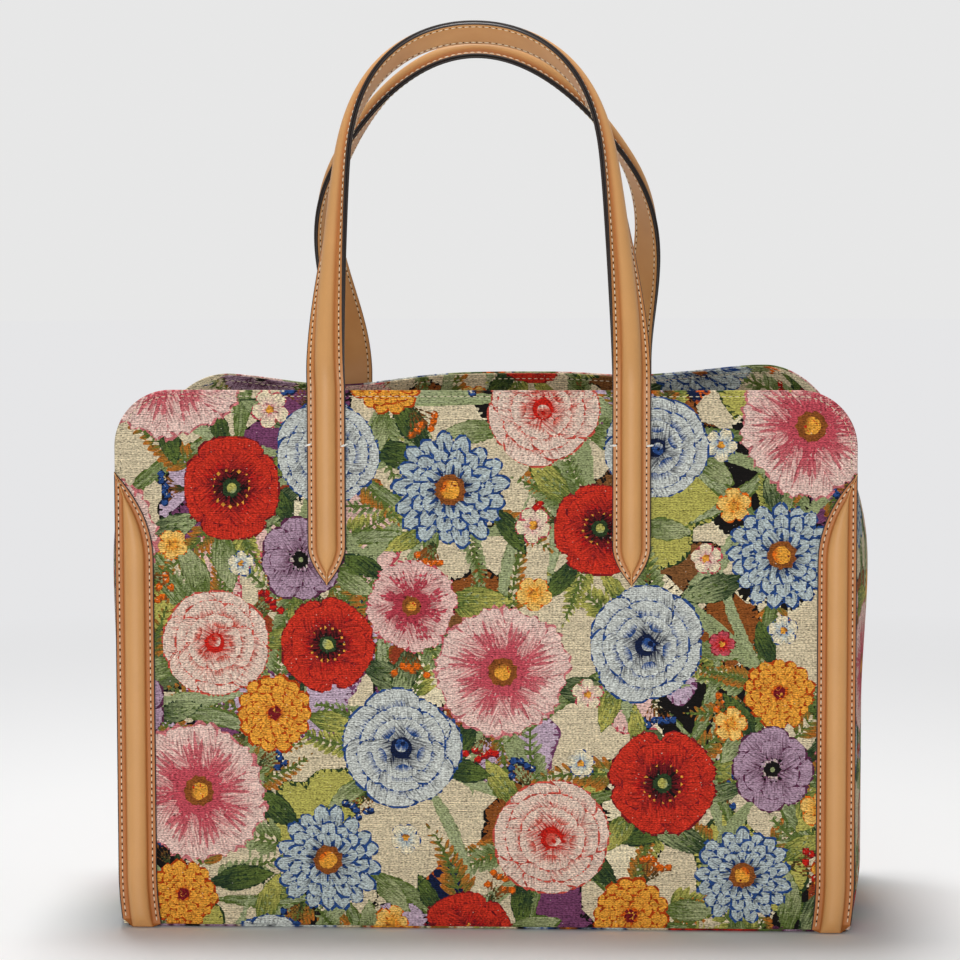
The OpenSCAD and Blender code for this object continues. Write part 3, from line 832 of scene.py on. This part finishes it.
def darker_margin_and_crease_shade(across, ridge, depth):
    """0 on the ridge, depth on the margins, plus painted shade deepest in the crease between."""
    u = np.abs(across) / ridge
    # The bell adds painted shade in the crease beside the ridge.
    return np.clip(ease((u - 0.8) / 0.2) * (depth + 0.3 * bell(u, 1.03, 0.09)), 0, 1)


def sweep(name, rows, mats, materials, slot, flip, tones=None):
    """Closed tube over rows of points, with mats[i] the material of column i.

    tones darken the leather's margins and paint shade into the crease beside the ridge, row by row; without
    them it is even.
    """
    n, verts = len(rows[0]), np.concatenate(rows)
    faces, index = [], []
    for k in range(len(rows) - 1):
        for i in range(n):
            j = (i + 1) % n
            faces.append((k * n + i, k * n + j, (k + 1) * n + j, (k + 1) * n + i))
            index.append(mats[i])
    faces += [tuple(reversed(range(n))), tuple(range((len(rows) - 1) * n, len(rows) * n))]
    if flip:
        faces = [f[::-1] for f in faces]
    kind = "_cord" if slot == "padding" else "_leather"
    piece = mesh_piece(name + kind, verts, faces, materials, index + [0, 0])
    grey = np.zeros((len(verts), 4))
    if tones:
        grey += np.concatenate(tones)[:, None]
    layer = piece.data.color_attributes.new("margin_tone_and_crease_shade", "FLOAT_COLOR", "POINT")
    layer.data.foreach_set("color", grey.astype(np.float32).ravel())
    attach(piece, "root")
    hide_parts(name)
    return piece


def columns(loop):
    """A section's points, heights and painted columns."""
    a, h = np.array([p[0] for p in loop]), np.array([p[1] for p in loop])
    return a, h, [int(loop[i][2] and loop[(i + 1) % len(loop)][2]) for i in range(len(loop))]


trim_tip, trim_half, trim_taper = 242.0, 10.25, 47.0
trim_shoulder = trim_tip - trim_taper
foot_dome = 5.5


def trim_width(z):
    return trim_half * (1 - (1 - min(1, max(0, (trim_tip - z) / trim_taper))) ** 2.1)


def on_trim(z, across, height, ridge, r, side, back):
    """Points of a trim's section at height z, standing off the panel."""
    b = max(0.12, trim_width(z))
    foot = np.where(np.abs(across) < ridge, 0.3, np.where(across < 0, 2.0, 4.5))
    zz = z + foot * (1 - min(1, z / 30))
    w = half_w(zz, r)
    x = w - b + across
    y = -body_d / 2 - bow(x / w, zz) - play - height
    return np.stack([x * side, -y if back else y, zz + (wave(x * side, zz) if back else 0)], 1)


def ridge_size(b, full):
    ridge = min(0.8 * b, max(0.4, b - flange_w))
    return ridge, ridge_h * (ridge / (full - flange_w)) ** 0.6


TRIMS = (
    ("front_left_trim", front_r, -1, False), ("front_right_trim", front_r, 1, False),
    ("back_left_trim", back_r, -1, True), ("back_right_trim", back_r, 1, True),
)
foot_rows = [0, 0.25, 0.7, 1.4, 2.4, 3.8, foot_dome]
top_rows = trim_tip - trim_taper * (1 - np.linspace(0, 1, 36)[1:]) ** 1.5
for name, r, side, back in TRIMS:
    rows, tones, cords = [], [], []
    for z in np.concatenate([foot_rows, np.linspace(8, trim_shoulder, 64), top_rows]):
        b = max(0.12, trim_width(z))
        ridge, rise = ridge_size(b, trim_half)
        dome = min(1, math.sqrt(z / foot_dome) * 0.95 + 0.05)
        a, h, mats = columns(ridge_profile(b, ridge, rise * dome, 0))
        rows.append(on_trim(z, a, h, ridge, r, side, back))
        # Darker margins, with painted shade in the crease by the ridge.
        tones.append(darker_margin_and_crease_shade(a, ridge, 0.9))
        if z >= foot_dome and b - flange_w > 0.4 * (trim_half - flange_w):
            a, h, _ = columns(fill_loop(ridge, rise, 0.05))
            cords.append(on_trim(z, a, h, ridge, r, side, back))
    inverse = (side > 0) == back
    sweep(name, rows, mats, [leather, edge_paint], "ridged_leather", inverse, tones)
    cord = sweep(name + "_filler", cords, [0] * 13, [padding], "padding", inverse)

# Handles
# Each handle is a ridged strap with a cord inside and a plain leather strip
# behind, sewn together along both edges. It lies flat where it is sewn down
# and turns a quarter on its way up to the crown.
strap_half, leg_x, lean_z, leg_len = 10.0, 79.5, 287.0, 104.0
leg_face, leg_shift = 82.65, -2.5
tip_len, over_r = 20.0, 40.0


class Loop:
    """Path of one handle, as seen from its own side of the bag."""

    def __init__(self, rise, roundness, straight, flare, sway, crown, turn, haste, mirror):
        self.rise, self.turn, self.haste, self.mirror = rise, math.radians(turn), haste, mirror
        a = np.linspace(math.pi, 0, 1201)
        v = np.maximum(np.sin(a), 0)
        x = np.sign(np.cos(a)) * leg_x * (1 - v**straight) ** (1 / roundness)
        v = rise * v
        x = x * (1 + flare / leg_x * ease(v / 125)) + sway * v / rise
        x = np.concatenate([[-leg_x], x, [leg_x]])
        v = np.concatenate([[-leg_len], v, [-leg_len]])
        step = np.hypot(np.diff(x), np.diff(v))
        self.s = np.concatenate([[0], np.cumsum(step)])
        self.x, self.v, self.total = x, v, float(self.s[-1])
        self.lean = math.asin((leg_face - crown) / rise)

    def station(self, s):
        """Base point, outward face, inner side and direction at length s."""
        d = 0.4
        lo, hi = max(0, s - d), min(self.total, s + d)
        x, v = np.interp(s, self.s, self.x), np.interp(s, self.s, self.v)
        tx = np.interp(hi, self.s, self.x) - np.interp(lo, self.s, self.x)
        tv = np.interp(hi, self.s, self.v) - np.interp(lo, self.s, self.v)
        n = math.hypot(tx, tv)
        tx, tv = tx / n, tv / n
        bend = min(self.lean, max(0, v / over_r))
        if v <= 0:
            y, z = 0.0, v
        else:
            rest = max(0, v - over_r * self.lean)
            y = over_r * (1 - math.cos(bend)) + rest * math.sin(self.lean)
            z = over_r * math.sin(bend) + rest * math.cos(self.lean)
        up = np.array([0, math.sin(bend), math.cos(bend)])
        face = np.array([0, -math.cos(bend), math.sin(bend)])
        out = np.array([-tv, 0, 0]) + tx * up
        q = (min(s, self.total - s) - leg_len) / (self.total / 2 - leg_len)
        turn = self.turn * (1 - (1 - min(1, max(0, q))) ** self.haste)
        normal = math.cos(turn) * face + math.sin(turn) * out
        inner = math.sin(turn) * face - math.cos(turn) * out
        base = np.array([x + leg_shift, y - leg_face, lean_z + z])
        return base, normal, inner, np.array([tx, 0, 0]) + tv * up

    def put(self, s, across, height):
        base, normal, inner, _ = self.station(s)
        p = base + np.outer(height, normal) + np.outer(across, inner)
        if self.mirror:
            p[:, 1] *= -1
        return p

    def half(self, s):
        d = min(s, self.total - s)
        return strap_half * (1 - (1 - min(1, max(0, d / tip_len))) ** 1.7)


front_loop = Loop(199, 2.1, 5, -7.5, -6, 7.5, 97, 1.8, False)
back_loop = Loop(186, 1.95, 1.6, 33.5, -6, 20, 84, 2.3, True)
backing, shader, start = finish("backing_leather", (204, 147, 90), 0.5)
spot = start.node("TexCoord", "Object")
cloud = start.node("TexNoise", "Fac", {"Vector": spot, "Scale": 45.0, "Detail": 4.0})
start.blend(cloud, (190, 130, 74), (218, 164, 106)).feed(shader, "Base Color")
face_h = leather_t + play


def strap_stations(total):
    """Lengths along a strap at which its section stands, closer at the tips."""
    tip = tip_len * np.linspace(0, 1, 18) ** 1.6
    return np.concatenate([tip, np.linspace(tip_len, total - tip_len, 240)[1:-1], total - tip[::-1]])


def flat_profile(half, low, high):
    """Section of the plain strip behind a strap, its lower face outward."""
    e = min(0.3, half * 0.3)
    loop = [(0, low, 0), (half * 0.5, low, 0), (half - e, low, 1), (half, low + e, 1), (half, high, 1)]
    loop += [(half - min(1.2, half * 0.4), high, 1), (half * 0.5, high, 0), (0, high, 0)]
    return loop + [(-a, h, m) for a, h, m in reversed(loop[1:-1])]


for side, loop in (("front", front_loop), ("back", back_loop)):
    outer, tones, behind, cords = [], [], [], []
    for s in strap_stations(loop.total):
        b = max(0.12, loop.half(s))
        ridge, rise = ridge_size(b, strap_half)
        a, h, mats = columns(ridge_profile(b, ridge, rise, face_h))
        outer.append(loop.put(s, a, h))
        # Darker margins, with painted shade in the crease by the ridge.
        tones.append(darker_margin_and_crease_shade(a, ridge, 0.62))
        a, h, strip = columns(flat_profile(b, 0, leather_t))
        behind.append(loop.put(s, a, h))
        if b - flange_w > 0.4 * (strap_half - flange_w):
            a, h, _ = columns(fill_loop(ridge, rise, face_h + 0.3))
            cords.append(loop.put(s, a, h))
    name = side + "_handle_"
    inverse = not loop.mirror
    sweep(name + "outer", outer, mats, [leather, edge_paint], "ridged_leather", inverse, tones)
    sweep(name + "backing", behind, strip, [backing, edge_paint], "backing_leather", inverse)
    cord = sweep(name + "core", cords, [0] * 13, [padding], "padding", inverse)

# Sewing
# Straps and trims are sewn with waxed cream thread, each stitch between two
# pricked holes, which are drawn as dark discs of painted shade. Panels and facings carry one row along their
# free edge, and a loose white tack holds each strap edge a little below the mouth.
thread = finish("thread", (226, 214, 188), 0.7)[0]
yarn = finish("topstitch_thread", (216, 203, 174), 0.8)[0]
# Needle holes are drawn as dark discs: painted shade.
hole_shade = finish("needle_hole_shade", (24, 16, 12), 0.9)[0]
tack = finish("tack_thread", (240, 238, 230), 0.7)[0]
stitch_pitch, tack_at = 3.57, 73.5


def capsules(centre, along, up, length, radius):
    """Short rounded threads, each lying along its own direction."""
    across = np.cross(up, along)
    across /= np.linalg.norm(across, axis=1)[:, None]
    parts = []
    for t, grow in ((-1, 0.3), (-0.72, 0.85), (0, 1), (0.72, 0.85), (1, 0.3)):
        for k in range(6):
            c, s = math.cos(k * math.pi / 3), math.sin(k * math.pi / 3)
            lift = radius * (grow * c + 0.35 * (1 - t * t) - 0.2)
            parts.append(centre + along * t * length / 2 + up * lift + across * radius * grow * s)
    verts = np.stack(parts, 1)
    faces = []
    for r in range(0, 24, 6):
        faces += [(r + k, r + (k + 1) % 6, r + 6 + (k + 1) % 6, r + 6 + k) for k in range(6)]
    faces += [tuple(range(5, -1, -1)), tuple(range(24, 30))]
    n = len(centre)
    return verts.reshape(-1, 3), [tuple(30 * i + v for v in f) for i in range(n) for f in faces]


def spread(points, normals, pitch):
    """Even steps along a row: places, directions and face normals."""
    points, normals = np.asarray(points), np.asarray(normals)
    s = np.concatenate([[0], np.cumsum(np.linalg.norm(np.diff(points, axis=0), axis=1))])
    at = np.arange(pitch * 0.5, s[-1], pitch)

    def pick(values, where):
        return np.stack([np.interp(where, s, values[:, k]) for k in range(3)], 1)
    along = pick(points, at + 0.2) - pick(points, at - 0.2)
    up = pick(normals, at)
    return (pick(points, at), along / np.linalg.norm(along, axis=1)[:, None],
            up / np.linalg.norm(up, axis=1)[:, None])


def sewing(name, lines, pitch, length, radius, cotton=thread, prick=0.5):
    """Rows of stitches with a dark disc of painted shade for the hole between each two, as one piece."""
    verts, faces, index, base = [], [], [], 0
    for points, normals in lines:
        centre, along, up = spread(points, normals, pitch)
        v, f = capsules(centre, along, up, length, radius)
        verts.append(v)
        faces += [tuple(base + i for i in q) for q in f]
        index += [0] * len(f)
        base += len(v)
        across = np.cross(up, along)
        # Each hole is a dark disc of painted shade laid just over the surface.
        mid = centre + along * pitch / 2 + up * 0.03
        wheel = [(math.cos(k * math.pi / 3), math.sin(k * math.pi / 3)) for k in range(6)]
        verts.append(np.stack([mid + prick * (c * along + s * across) for c, s in wheel], 1).reshape(-1, 3))
        faces += [tuple(base + 6 * i + k for k in range(6)) for i in range(len(mid))]
        index += [1] * len(mid)
        base += 6 * len(mid)
    piece = mesh_piece(name, np.concatenate(verts), faces, [cotton, hole_shade], index)
    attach(piece, "root")
    return piece


def edge_line(r, inset, foot):
    """Row along a panel's free edge, from one trim over the top to the other."""
    right = [(float(half_w(np.array(z), r)) - inset, z) for z in np.linspace(foot, body_h - r, 24)]
    right += [(body_w / 2 - r + (r - inset) * math.cos(a), body_h - r + (r - inset) * math.sin(a))
              for a in np.linspace(0, math.pi / 2, 24)[1:]]
    flat = right + [(-x, z) for x, z in reversed(right)]
    line = [np.linspace(p, q, 12)[:-1] for p, q in zip(flat, flat[1:])]
    return np.concatenate(line)


for name, r, back, inside in (
    ("front_panel_topstitch", front_r, False, False), ("back_panel_topstitch", back_r, True, False),
    ("back_facing_topstitch", back_r, True, True), ("front_facing_topstitch", front_r, False, True),
):
    line = edge_line(r, 10 if inside else 3.2, body_h - 40 if inside else trim_tip + 1)
    if inside:
        line = line[line[:, 1] > body_h - 14]
        line[:, 1] = np.maximum(line[:, 1], body_h - 4)
        line = line[np.argsort(line[:, 0])]
    depth = np.full(len(line), cloth_t + play + facing_t if inside else 0.0)
    facing = np.array([0, (1 if back else -1) * (-1 if inside else 1), 0])
    row = (on_panel(line, depth, r, back), np.tile(facing, (len(line), 1)))
    sewing(name, [row], 3.4, 2.1, 0.26, yarn, 0.3)
for name, r, side, back in TRIMS:
    lines = []
    for edge in (-1, 1):
        row = []
        tapered = np.linspace(trim_shoulder, trim_tip - 5, 60)[1:]
        for z in np.concatenate([np.linspace(1, trim_shoulder, 120), tapered]):
            b = trim_width(z)
            ridge = ridge_size(b, trim_half)[0]
            across, height = np.array([edge * (b - 2.2)]), np.array([leather_t + 0.05])
            row.append(on_trim(z, across, height, ridge, r, side, back)[0])
        lines.append((row, np.tile([0.0, 1 if back else -1, 0], (len(row), 1))))
    sewing(name + "_stitches", lines, stitch_pitch, 2.15, 0.32)
for side, loop in (("front", front_loop), ("back", back_loop)):
    lines, tacks = [], []
    flip = np.array([1, -1 if loop.mirror else 1, 1])
    for edge in (-1, 1):
        for low, height, sign in ((3.2, face_h + leather_t + 0.05, 1), (92, -0.05, -1)):
            at = np.linspace(low, loop.total - low, 900)
            row = [loop.put(s, [edge * (loop.half(s) - 2.25)], [height])[0] for s in at]
            lines.append((row, [sign * loop.station(s)[1] * flip for s in at]))
        for s in (tack_at, loop.total - tack_at):
            base, up, inner, ahead = loop.station(s)
            inner = inner + (0.35 if s < 100 else 0.1) * ahead
            along, lifted = edge * inner - 0.55 * up, up + 0.55 * edge * inner
            tacks.append((loop.put(s, [edge * 9.6], [2.3])[0], along * flip, lifted * flip))
    sewing(side + "_handle_stitches", lines, stitch_pitch, 2.2, 0.32)
    centre, along, up = (np.array([t[k] for t in tacks]) for k in range(3))
    along /= np.linalg.norm(along, axis=1)[:, None]
    up /= np.linalg.norm(up, axis=1)[:, None]
    verts, faces = capsules(centre, along, up, 4.4, 0.62)
    piece = mesh_piece(side + "_handle_tacks", verts, faces, [tack])
    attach(piece, "root")

# Studio
# A pale floor that runs into a pale background, a wide soft lamp from the
# front and a smaller one overhead, a little behind the bag.
def shown(start):
    """1 for the rays that show the background: seen, mirrored or through glass."""
    ray = start.node("LightPath", "Is Camera Ray")
    return (ray + ray.also("Is Glossy Ray") + ray.also("Is Transmission Ray")).clamp()


paper, shader, start = finish("floor", (246, 246, 246), 0.9)
spot_x = start.node("SeparateXYZ", "X", {0: start.node("TexCoord", "Object")})
from_middle = start.maths("SQRT", spot_x * spot_x + spot_x.also("Y") * spot_x.also("Y"))
far = (1.1 * from_middle - 0.45).clamp()
glow = start.node("Emission", 0, {"Color": (0.79, 0.79, 0.8, 1)})
seen = shown(start) * far
lit = start.node("MixShader", 0, {0: seen, 1: Shade(start.tree, shader.outputs[0]), 2: glow})
lit.feed(start.tree.nodes["Material Output"], "Surface")
floor_r, floor_z = 9000, -0.2
turns = np.linspace(0, 2 * math.pi, 97)[:-1]
floor_rim = [(floor_r * math.cos(a), floor_r * math.sin(a), floor_z) for a in turns]
mesh_piece("floor", floor_rim, [tuple(range(96))], [paper])
world = bpy.data.worlds.new("studio")
bpy.context.scene.world = world
world.use_nodes = True
start, sky = Shade(world.node_tree), world.node_tree.nodes["Background"]
sky.inputs["Color"].default_value = (1, 1, 1, 1)
strength = 0.22 + 0.58 * shown(start)
strength.feed(sky, "Strength")
for name, spot, aim, size, power in (
    ("front", (-0.2, -2.3, 0.3), (0, 0, 0.24), 1.0, 29),
    ("top", (-0.1, 0.34, 2.0), (0, 0.05, 0.1), 0.6, 31),
):
    lamp = bpy.data.lights.new(name, "AREA")
    lamp.size = size
    lamp.energy = power
    obj = bpy.data.objects.new(name, lamp)
    obj.location = spot
    obj.rotation_euler = (Vector(aim) - Vector(spot)).to_track_quat("-Z", "Y").to_euler()
    bpy.context.scene.collection.objects.link(obj)

# Camera
# Placed where the photograph was taken from.
yaw, pitch, roll = -0.05239, 0.08378, -0.00213
ahead = Vector((math.sin(yaw) * math.cos(pitch), math.cos(yaw) * math.cos(pitch), -math.sin(pitch)))
sideways = Vector((math.cos(yaw), -math.sin(yaw), 0))
over = sideways.cross(ahead)
right = math.cos(roll) * sideways + math.sin(roll) * over
up = -math.sin(roll) * sideways + math.cos(roll) * over
camera = bpy.data.objects.new("camera", bpy.data.cameras.new("camera"))
camera.data.sensor_width = 36
camera.data.lens = 125.24
spot = Vector((0.08885, -1.81308, 0.38378))
camera.matrix_world = Matrix((
    (right.x, up.x, -ahead.x, spot.x),
    (right.y, up.y, -ahead.y, spot.y),
    (right.z, up.z, -ahead.z, spot.z),
    (0, 0, 0, 1),
))
bpy.context.scene.collection.objects.link(camera)
bpy.context.scene.camera = camera
bpy.context.scene.view_settings.view_transform = "Standard"
